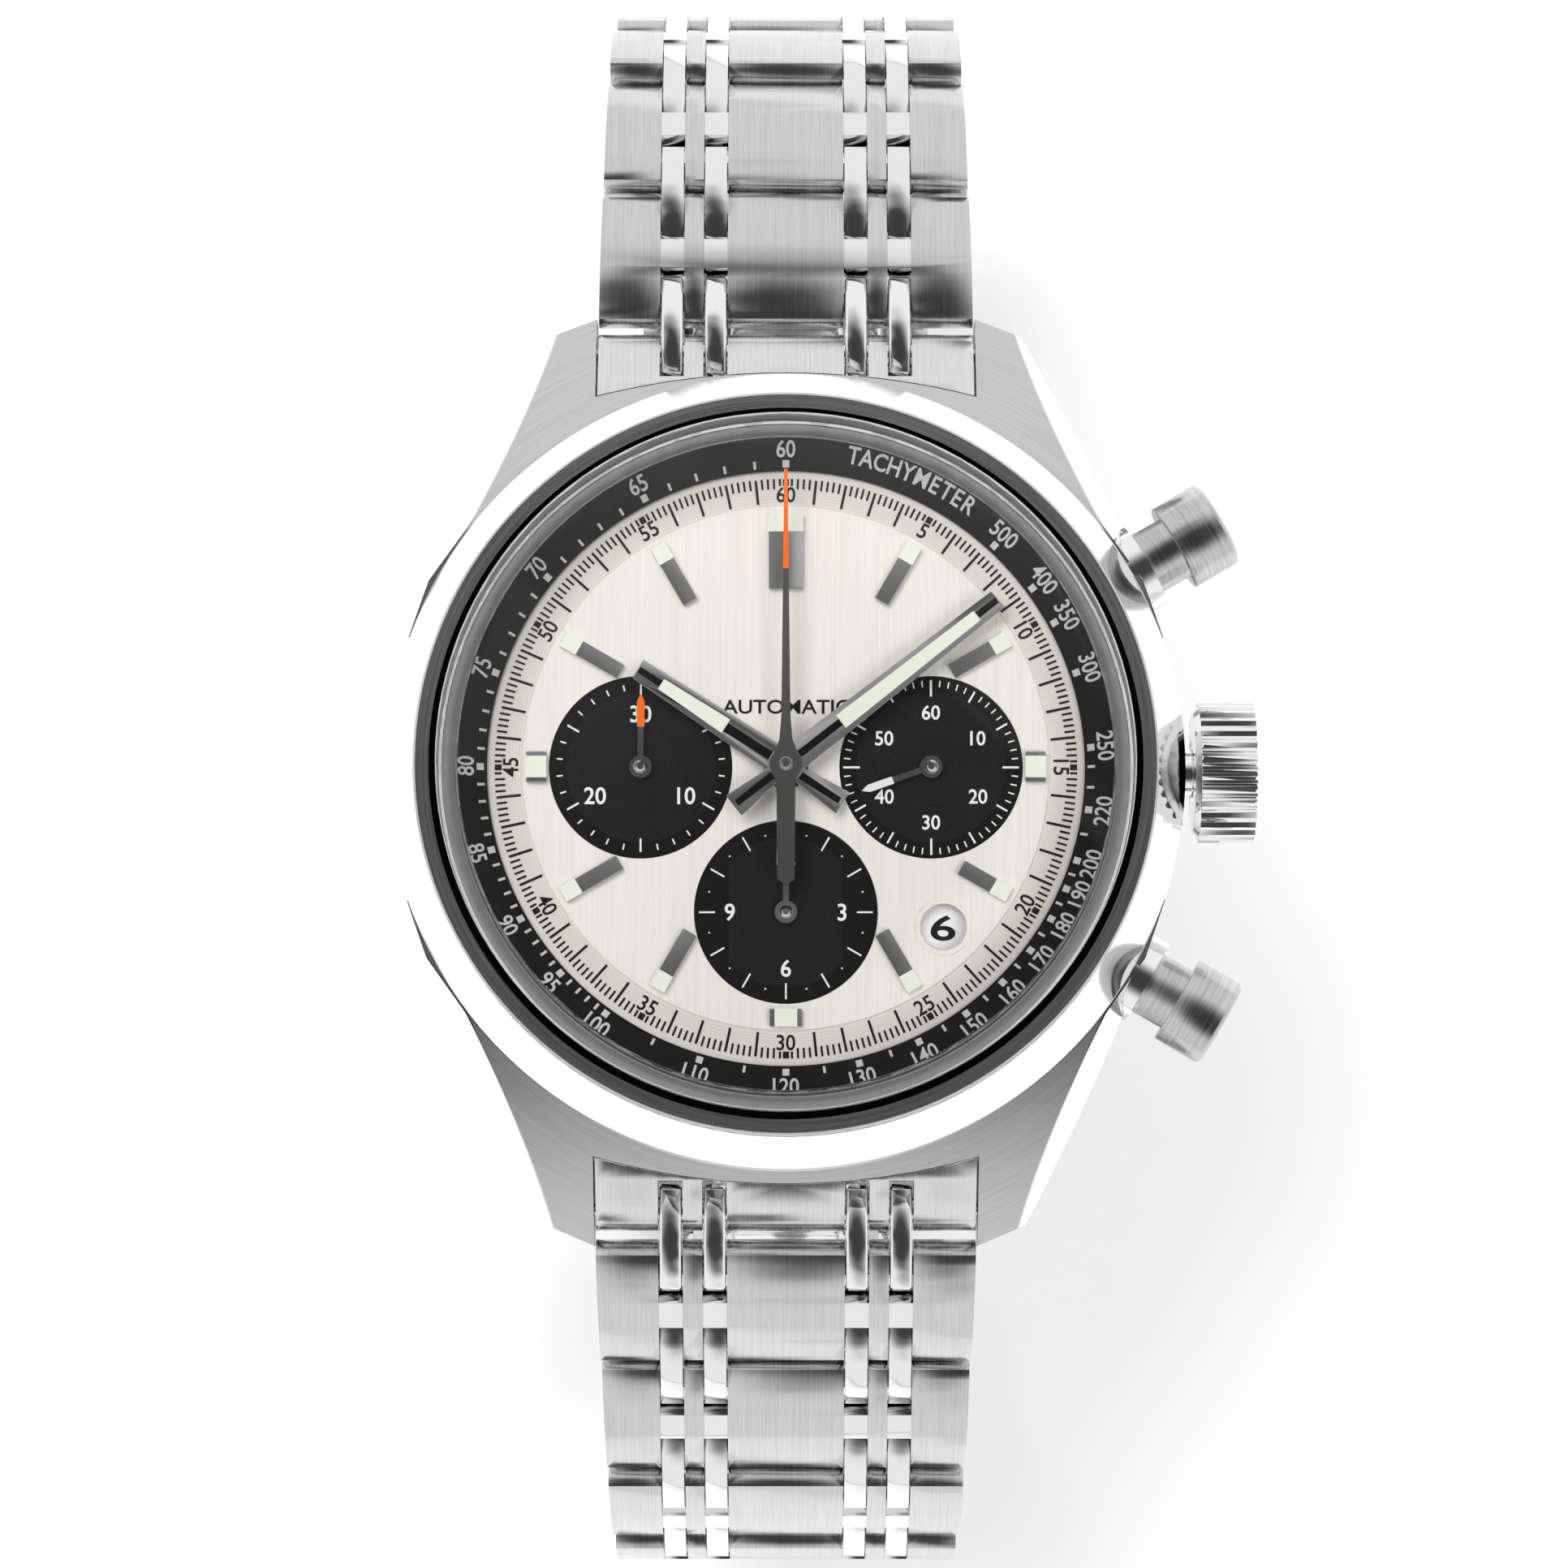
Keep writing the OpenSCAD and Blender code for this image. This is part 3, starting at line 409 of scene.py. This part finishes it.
def striped_bridge():
    f = Finish("bridge_striped")
    along = f.x * 0.8 + f.y * 0.6
    wave = (along * (2 * math.pi / 2.2)).op("SINE", along * (2 * math.pi / 2.2)) * 0.5 + 0.5
    fine = lines_along(f, "Y", 9.0, 0.5)
    return f.skin(
        Base_Color=f.mix(wave, (0.55, 0.54, 0.51), (0.78, 0.77, 0.74)),
        Metallic=1.0,
        Roughness=0.2 + wave * 0.16,
        Normal=f.bump(wave * 0.8 + fine * 0.2, 0.01, 0.5),
    )


def gilt(name, colour, rough=0.28):
    f = Finish(name)
    fine = lines_round(f, 5.0, 3.0)
    return f.skin(
        Base_Color=f.mix(fine, tuple(c * 0.85 for c in colour), colour),
        Metallic=1.0,
        Roughness=rough + (fine - 0.5) * 0.12,
        Normal=f.bump(fine, 0.003, 0.5),
    )


def cap_finish(name, azimuth):
    """A push-piece brushed round its own axis."""
    f = Finish(name, AT_STEM)
    a = math.radians(azimuth)
    along = f.x * math.cos(a) + f.y * math.sin(a)
    side = f.y * math.cos(a) - f.x * math.sin(a)
    at = f.vector(along * 7.0, side * 0.25, f.z * 0.25)
    lines = f.noise(at, 1.0, 4.0, 0.65)
    return f.skin(
        Base_Color=f.mix(lines.past(0.5, 0.28), grey(0.42), grey(0.62)),
        Metallic=1.0,
        Roughness=0.22 + (lines - 0.5) * 0.16,
        Normal=f.bump(lines, 0.004, 0.6),
    )


rubber_black = lacquer("rubber_black", (0.001, 0.001, 0.001), 0.6, gloss=0.03)
ink_black = lacquer("ink_black", (0.012, 0.012, 0.012), 0.4)
ink_pale = lacquer("ink_pale", (0.7, 0.7, 0.69), 0.5)
ink_white = lacquer("ink_white", (0.95, 0.95, 0.94), 0.5)
groove_black = lacquer("groove_black", (0.004, 0.004, 0.004), 0.3)
paper_white = lacquer("date_white", (0.95, 0.95, 0.94), 0.5)
ruby_red = lacquer("ruby_red", (0.55, 0.015, 0.06), 0.1, 0.0, 0.8)
blued_steel = lacquer("blued_steel", (0.03, 0.06, 0.32), 0.18, 1.0)
lume = lume_finish()
crystal_clear = glass_finish("crystal_clear", (0.985, 0.99, 0.99))
back_clear = glass_finish("back_clear", (0.98, 0.985, 0.985))
chrono_paint = split_hand(
    "chrono_hand_paint", (0, 0, 0), lambda f: f.y.past(10.4, 0.02), grey(0.8), (1.0, 0.17, 0.012)
)
minute_counter_paint = split_hand(
    "minute_counter_paint",
    (-SUB_OFFSET, 0, 0),
    lambda f: f.y.past(2.15, 0.02),
    grey(0.8),
    (1.0, 0.17, 0.012),
)
SMALL_TURN = math.radians(250.8)
small_seconds_paint = split_hand(
    "small_seconds_paint",
    (SUB_OFFSET, 0, 0),
    lambda f: (f.x * math.sin(SMALL_TURN) + f.y * math.cos(SMALL_TURN)).past(2.15, 0.02),
    grey(0.8),
    (0.9, 0.9, 0.88),
)

WEAR = {
    "case_middle": case_steel,
    "bezel": bezel_finish(),
    "crystal": crystal_clear,
    "gaskets": rubber_black,
    "tachymeter_ring": scale_ring_finish(),
    "case_back": back_steel,
    "case_back_crystal": back_clear,
    "case_tubes": mirror_steel,
    "movement_ring": bright_steel,
    "dial": dial_finish(),
    "subdial_discs": small_dial_finish(),
    "hour_markers": hand_steel,
    "hour_hand": hand_steel,
    "minute_hand": hand_steel,
    "chrono_seconds_hand": chrono_paint,
    "small_seconds_hand": small_seconds_paint,
    "minute_counter_hand": minute_counter_paint,
    "hour_counter_hand": hand_steel,
    "date_disc": paper_white,
    "mainplate": gilt("plate_gilt", (0.72, 0.66, 0.5)),
    "train_bridge": striped_bridge(),
    "balance_cock": bright_steel,
    "bridge_screws": blued_steel,
    "bridge_jewels": ruby_red,
    "mainspring_barrel": gilt("barrel_gilt", (0.85, 0.66, 0.36)),
    "centre_wheel": gilt("centre_gilt", (0.86, 0.64, 0.32)),
    "third_wheel": gilt("third_gilt", (0.86, 0.64, 0.32)),
    "escape_wheel": bright_steel,
    "pallet_fork": bright_steel,
    "balance_wheel": gilt("balance_gilt", (0.9, 0.7, 0.38), 0.18),
    "hairspring": blued_steel,
    "column_wheel": mirror_steel,
    "rotor": striped_bridge(),
    "winding_stem": mirror_steel,
    "crown": mirror_steel,
    "start_stop_pusher": cap_finish("upper_cap_steel", 30.2),
    "reset_pusher": cap_finish("lower_cap_steel", -30.2),
    "end_links": end_steel,
    "end_connectors": mirror_steel,
    "spring_bars": mirror_steel,
    "clasp_cover": clasp_steel,
    "clasp_outer_blade": bright_steel,
    "clasp_inner_blade": bright_steel,
    "clasp_button_left": mirror_steel,
    "clasp_button_right": mirror_steel,
}
SOFT_EDGE = {
    "crystal": 0.12,
    "crown": 0.05,
    "hour_hand": 0.05,
    "minute_hand": 0.05,
    "hour_markers": 0.05,
    "start_stop_pusher": 0.08,
    "reset_pusher": 0.08,
    "end_links": 0.1,
    "end_connectors": 0.16,
    "clasp_cover": 0.15,
    "clasp_outer_blade": 0.08,
    "clasp_inner_blade": 0.08,
    "clasp_button_left": 0.12,
    "clasp_button_right": 0.12,
    "case_back": 0.08,
    "rotor": 0.06,
    "train_bridge": 0.06,
}


def dress(name, material, edge):
    o = nodes[name]
    o.data.materials.clear()
    o.data.materials.append(material)
    for p in o.data.polygons:
        p.use_smooth = True
        p.material_index = 0
    weld = o.modifiers.new("weld", "WELD")
    weld.merge_threshold = 0.000002
    if edge:
        bevel = o.modifiers.new("soft_edge", "BEVEL")
        bevel.width = edge * MM
        bevel.segments = 2
        bevel.limit_method = "ANGLE"
        bevel.angle_limit = math.radians(32)
        bevel.harden_normals = True
        bevel.use_clamp_overlap = True
    else:
        split = o.modifiers.new("crisp", "EDGE_SPLIT")
        split.split_angle = math.radians(24)


for name in nodes:
    if name.startswith("row_"):
        dress(name, link_steel_painted_shade, 0.13)
    else:
        dress(name, WEAR[name], SOFT_EDGE.get(name, 0))


# ---------------------------------------------------------------- printed and inlaid pieces
def clock(r, degrees, centre=(0, 0)):
    a = math.radians(degrees)
    return centre[0] + r * math.sin(a), centre[1] + r * math.cos(a)


def letter_mesh(words):
    """Letters one unit tall, centred, as a thin solid."""
    curve = bpy.data.curves.new("letters", "FONT")
    curve.body = words
    curve.extrude = 0.01
    curve.offset = 0.014
    curve.resolution_u = 4
    holder = bpy.data.objects.new("letters", curve)
    bpy.context.scene.collection.objects.link(holder)
    graph = bpy.context.evaluated_depsgraph_get()
    made = bpy.data.meshes.new_from_object(holder.evaluated_get(graph))
    bpy.data.objects.remove(holder)
    xs = [v.co.x for v in made.vertices]
    ys = [v.co.y for v in made.vertices]
    tall = max(ys) - min(ys)
    made.transform(Matrix.Translation((-(max(xs) + min(xs)) / 2, -(max(ys) + min(ys)) / 2, 0)))
    made.transform(Matrix.Diagonal((1 / tall, 1 / tall, 1, 1)))
    return made


class Layer:
    """Flat marks that are gathered into one thin piece."""

    def __init__(self, thick=0.02):
        self.bm = bmesh.new()
        self.thick = thick

    def add(self, mesh, matrix):
        part = bmesh.new()
        part.from_mesh(mesh)
        bmesh.ops.transform(part, matrix=matrix, verts=part.verts)
        spare = bpy.data.meshes.new("spare")
        part.to_mesh(spare)
        part.free()
        self.bm.from_mesh(spare)
        bpy.data.meshes.remove(spare)

    def text(self, words, tall, at, turn=0.0, wide=1.0):
        """turn is clockwise, in degrees."""
        place = Matrix.Translation((at[0], at[1], 0)) @ Matrix.Rotation(-math.radians(turn), 4, "Z")
        self.add(letter_mesh(words), place @ Matrix.Diagonal((tall * wide, tall, self.thick / 0.02, 1)))

    def bar(self, r0, r1, degrees, width, centre=(0, 0)):
        """A radial mark from r0 to r1."""
        at = clock((r0 + r1) / 2, degrees, centre)
        place = Matrix.Translation((at[0], at[1], 0)) @ Matrix.Rotation(-math.radians(degrees), 4, "Z")
        shape = Matrix.Diagonal((width, r1 - r0, self.thick, 1))
        bmesh.ops.create_cube(self.bm, size=1.0, matrix=place @ shape)

    def dot(self, at, r):
        place = Matrix.Translation((at[0], at[1], self.thick / 2))
        bmesh.ops.create_circle(self.bm, cap_ends=True, segments=16, radius=r, matrix=place)

    def piece(self, name, material, body, height):
        """height is a number, or a function of x and y, in millimetres."""
        for v in self.bm.verts:
            level = height(v.co.x, v.co.y) if callable(height) else height
            v.co.z += level
        return finish_piece(self.bm, name, material, body)


def finish_piece(bm, name, material, body, smooth=False):
    bmesh.ops.remove_doubles(bm, verts=bm.verts, dist=0.0005)
    bmesh.ops.recalc_face_normals(bm, faces=bm.faces)
    bmesh.ops.scale(bm, vec=(MM, MM, MM), verts=bm.verts)
    mesh = bpy.data.meshes.new(name)
    bm.to_mesh(mesh)
    bm.free()
    for p in mesh.polygons:
        p.use_smooth = smooth
    o = bpy.data.objects.new(name, mesh)
    o.data.materials.append(material)
    bpy.context.scene.collection.objects.link(o)
    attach(o, body)
    return o


def prism(bm, points, low, high, turn=0.0, centre=(0, 0)):
    """A flat plate with the outline given for a hand at 12 o'clock, turned clockwise."""
    a = -math.radians(turn)
    place = Matrix.Translation((centre[0], centre[1], 0)) @ Matrix.Rotation(a, 4, "Z")
    verts = [bm.verts.new(place @ Vector((x, y, low))) for x, y in points]
    face = bm.faces.new(verts)
    grown = bmesh.ops.extrude_face_region(bm, geom=[face])["geom"]
    lifted = [g for g in grown if isinstance(g, bmesh.types.BMVert)]
    bmesh.ops.translate(bm, vec=(0, 0, high - low), verts=lifted)


def turned(name, profile, centre, material, body, steps=48):
    """A turned piece from a profile of (radius, height)."""
    bm = bmesh.new()
    verts = [bm.verts.new((r, 0, z)) for r, z in profile]
    edges = [bm.edges.new(pair) for pair in zip(verts, verts[1:])]
    bmesh.ops.spin(
        bm,
        geom=verts + edges,
        cent=(0, 0, 0),
        axis=(0, 0, 1),
        angle=2 * math.pi,
        steps=steps,
        use_merge=True,
    )
    bmesh.ops.translate(bm, vec=(centre[0], centre[1], 0), verts=bm.verts)
    bmesh.ops.remove_doubles(bm, verts=bm.verts, dist=0.0002)
    return finish_piece(bm, name, material, body, smooth=False)


# minute track on the dial
track = Layer()
for step in range(300):
    degrees = step * 1.2
    if step % 25 == 0:
        track.bar(15.07, 15.44, degrees, 0.32)
    elif step % 5 == 0:
        track.bar(14.12, 15.42, degrees, 0.14)
    elif step % 25 in (1, 24):
        track.bar(15.07, 15.45, degrees, 0.12)
    else:
        track.bar(14.9, 15.45, degrees, 0.115)
for minute in range(5, 65, 5):
    degrees = minute * 6
    flip = 180 if 90 < degrees < 270 else 0
    track.text(str(minute), 0.84, clock(14.6, degrees), degrees + flip, 0.92)
track.piece("minute_track_print", ink_black, "case", TRACK + PRINT)

# scale on the sloping ring
RING_FOOT = 15.85
RING_RISE = (4.4 - 3.33) / (17.56 - 15.85)


def on_ring(x, y):
    return STEM + 3.33 + (math.hypot(x, y) - RING_FOOT) * RING_RISE + PRINT


scale = Layer()
labels = list(range(60, 100, 5)) + list(range(100, 200, 10)) + [200, 220, 250, 300, 350, 400, 500]
dashes = [v for v in range(60, 100) if v % 5] + list(range(105, 200, 10)) + [210, 230, 240]
for value in labels:
    degrees = 360 * 60 / value % 360
    flip = 180 if 90 < degrees < 270 else 0
    scale.bar(16.0, 16.37, degrees, 0.36)
    scale.text(str(value), 0.86, clock(16.93, degrees), degrees + flip, 0.9)
for value in dashes:
    scale.bar(15.98, 16.36, 360 * 60 / value, 0.14)
word = "TACHYMETER"
widths = [0.9, 1.0, 1.05, 1.05, 1.0, 1.2, 0.95, 0.9, 0.95, 1.05]
span = sum(widths)
so_far = 0.0
for letter, width in zip(word, widths):
    degrees = 11.2 + 25.2 * (so_far + width / 2) / span
    so_far += width
    scale.text(letter, 0.88, clock(16.95, degrees), degrees, 0.9)
scale.piece("tachymeter_print", ink_pale, "case", on_ring)

# small dials
small = Layer()
LEFT = (-SUB_OFFSET, 0)
RIGHT = (SUB_OFFSET, 0)
LOW = (0, -SUB_OFFSET)
for k in range(30):
    degrees = k * 12
    if k % 5 == 0:
        small.bar(3.78, 4.5, degrees, 0.1, LEFT)
    else:
        small.bar(4.16, 4.48, degrees, 0.08, LEFT)
for words, degrees in (("30", 0), ("10", 122), ("20", 238)):
    small.text(words, 0.92, clock(2.85, degrees, LEFT), 0, 0.95)
for k in range(60):
    degrees = k * 6
    if k % 15 == 0:
        small.bar(3.78, 4.66, degrees, 0.11, RIGHT)
    elif k % 5 == 0:
        small.bar(4.0, 4.66, degrees, 0.1, RIGHT)
    else:
        small.bar(4.3, 4.64, degrees, 0.07, RIGHT)
for words, degrees in (("60", 0), ("10", 58), ("20", 122), ("30", 180), ("40", 238), ("50", 302)):
    small.text(words, 0.78, clock(2.93, degrees, RIGHT), 0, 0.95)
for k in range(12):
    small.bar(3.76, 4.6, k * 30, 0.09, LOW)
    small.dot(clock(4.2, k * 30 + 15, LOW), 0.05)
for words, degrees in (("12", 0), ("3", 90), ("6", 180), ("9", 270)):
    small.text(words, 0.92, clock(2.97, degrees, LOW), 0, 0.95)
small.piece("small_dial_print", ink_white, "case", SUB + PRINT)

# the word on the dial
word_print = Layer()
word_print.text("AUTOMATIC", 0.76, (0.02, 3.22), 0, 1.12)
word_print.piece("dial_word_print", ink_black, "case", DIAL + PRINT)

# lume on the hour markers
marker_lume = bmesh.new()
TOP = DIAL + 0.36


def lume_block(width, r0, r1, degrees, low=DIAL + 0.05, high=TOP + 0.03):
    half = width / 2
    prism(marker_lume, [(-half, r0), (half, r0), (half, r1), (-half, r1)], low, high, degrees)


lume_block(1.87, 12.56, 13.47, 0)
for hour in (1, 2, 4, 5, 7, 8, 10, 11):
    lume_block(0.86, 12.65, 13.62, hour * 30)
for hour in (3, 9):
    lume_block(1.15, 12.68, 13.78, hour * 30)
lume_block(1.2, 12.83, 13.78, 180)
finish_piece(marker_lume, "marker_lume", lume, "case")

# inlays of the two main hands
HANDS = (
    ("hour", 303.3, 3.8, 7.9, 9.3, HOUR_TOP, "hour_hand", 3.4),
    ("minute", 51.9, 3.7, 12.85, 14.2, MINUTE_TOP, "minute_hand", 3.3),
)
for who, turn, start, stop, tip, level, body, tail in HANDS:
    inset = bmesh.new()
    bed = level - 0.04
    prism(inset, [(-0.42, start), (0.42, start), (0.31, stop), (-0.31, stop)], bed, level + 0.035, turn)
    finish_piece(inset, who + "_hand_lume", lume, body)
    groove = bmesh.new()
    for outline in (
        [(-0.2, 0.9), (0.2, 0.9), (0.2, start - 0.02), (-0.2, start - 0.02)],
        [(-0.19, stop + 0.02), (0.19, stop + 0.02), (0.17, tip), (-0.17, tip)],
        [(-0.17, -tail), (0.17, -tail), (0.2, -0.9), (-0.2, -0.9)],
    ):
        prism(groove, outline, bed, level + PRINT, turn)
    finish_piece(groove, who + "_hand_groove", groove_black, body)

# hubs: a turned cap with a dark recess
turned(
    "chrono_hub_cap",
    [(0.0, 0.0), (0.17, 0.0), (0.19, 0.12), (0.3, 0.14), (0.37, 0.06), (0.37, -0.1), (0.0, -0.1)],
    (0, 0),
    hand_steel,
    "chrono_seconds_hand",
)
cap = bpy.data.objects["chrono_hub_cap"]
cap.data.transform(Matrix.Translation((0, 0, (CHRONO_TOP + 0.1) * MM)))
for who, centre, body in (
    ("minute_counter", LEFT, "minute_counter_hand"),
    ("small_seconds", RIGHT, "small_seconds_hand"),
    ("hour_counter", LOW, "hour_counter_hand"),
):
    ring = turned(
        who + "_hub_cap",
        [(0.16, -0.1), (0.16, 0.1), (0.24, 0.12), (0.33, 0.08), (0.38, 0.0), (0.38, -0.1), (0.16, -0.1)],
        centre,
        bright_steel,
        body,
    )
    ring.data.transform(Matrix.Translation((0, 0, (SMALL_TOP + 0.06) * MM)))

# date numerals, one for each day, upright at the window
date = Layer()
WINDOW_CLOCK = 90 + 45.6
for day in range(1, 32):
    degrees = WINDOW_CLOCK - (day - 6) * 360 / 31
    date.text(str(day), 1.36, clock(11.9, degrees), degrees - WINDOW_CLOCK, 1.6 if day < 10 else 0.9)
date_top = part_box("date_disc")[1].z / MM
date.piece("date_numerals", ink_black, "date_disc", date_top + PRINT)

# ---------------------------------------------------------------- floor, light, camera
floor_bm = bmesh.new()
bmesh.ops.create_grid(floor_bm, x_segments=1, y_segments=1, size=2.5)
bmesh.ops.translate(floor_bm, vec=(0, 0, -0.00006), verts=floor_bm.verts)
floor_mesh = bpy.data.meshes.new("floor")
floor_bm.to_mesh(floor_mesh)
floor = bpy.data.objects.new("floor", floor_mesh)
bpy.context.scene.collection.objects.link(floor)
pale = Finish("pale_floor")
pale.skin(
    Base_Color=(0.72, 0.72, 0.72, 1.0),
    Roughness=0.9,
    Emission_Color=(1, 1, 1, 1),
    Emission_Strength=0.16,
)
floor_mesh.materials.append(pale.material)

studio = bpy.data.worlds.new("studio")
studio.use_nodes = True
bpy.context.scene.world = studio
tree = studio.node_tree
tree.nodes.clear()
direction = tree.nodes.new("ShaderNodeTexCoord")
DISC_TIP = math.radians(11)
tipped = tree.nodes.new("ShaderNodeVectorMath")
tipped.operation = "DOT_PRODUCT"
tipped.inputs[1].default_value = (0, -math.sin(DISC_TIP), math.cos(DISC_TIP))
tree.links.new(direction.outputs["Generated"], tipped.inputs[0])
ramp = tree.nodes.new("ShaderNodeValToRGB")
tree.links.new(tipped.outputs["Value"], ramp.inputs[0])
# brightness at each angle from the middle of the dark disc
DISC = ((90, 1.0), (54, 1.0), (45, 0.88), (37, 0.55), (29, 0.24), (21, 0.07), (0, 0.05))
STOPS = [(math.cos(math.radians(angle)), level) for angle, level in DISC]
colours = ramp.color_ramp
while len(colours.elements) < len(STOPS):
    colours.elements.new(1.0)
for element, (at, level) in zip(colours.elements, STOPS):
    element.position = at
    element.color = (level, level, level, 1.0)
back = tree.nodes.new("ShaderNodeBackground")
tree.links.new(ramp.outputs[0], back.inputs[0])
back.inputs[1].default_value = 1.0
end = tree.nodes.new("ShaderNodeOutputWorld")
tree.links.new(back.outputs[0], end.inputs[0])


def soft_light(name, place, size, watts, aim=(0, 0, 0.03)):
    light = bpy.data.lights.new(name, "AREA")
    light.shape = "SQUARE"
    light.size = size
    light.energy = watts
    o = bpy.data.objects.new(name, light)
    bpy.context.scene.collection.objects.link(o)
    o.location = place
    o.rotation_mode = "QUATERNION"
    o.rotation_quaternion = (Vector(aim) - Vector(place)).to_track_quat("-Z", "Y")
    o.visible_glossy = False
    return o


soft_light("key_panel", (-0.35, 0.3, 0.9), 0.6, 7.2)
soft_light("fill_panel", (0.45, -0.25, 0.8), 0.6, 4.2)

TILT = math.radians(5.5)
AWAY = 300.0
# width that the picture takes in at the bezel, and how far its middle lies below the dial's
FIELD = 82.74
BELOW = 1.028
camera = bpy.data.cameras.new("camera")
camera.sensor_width = 36.0
camera.lens = camera.sensor_width * AWAY / FIELD
camera.clip_start = 0.01
camera.clip_end = 20
eye = bpy.data.objects.new("camera", camera)
bpy.context.scene.collection.objects.link(eye)
look = Vector((0, -math.sin(TILT), math.cos(TILT)))
up = Vector((0, math.cos(TILT), math.sin(TILT)))
target = Vector((-0.1, 0, BEZEL_PLANE)) - up * BELOW
eye.location = (target + look * AWAY) * MM
eye.rotation_euler = (TILT, 0, 0)
bpy.context.scene.camera = eye
bpy.context.scene.view_settings.view_transform = "Standard"

bpy.context.view_layer.update()
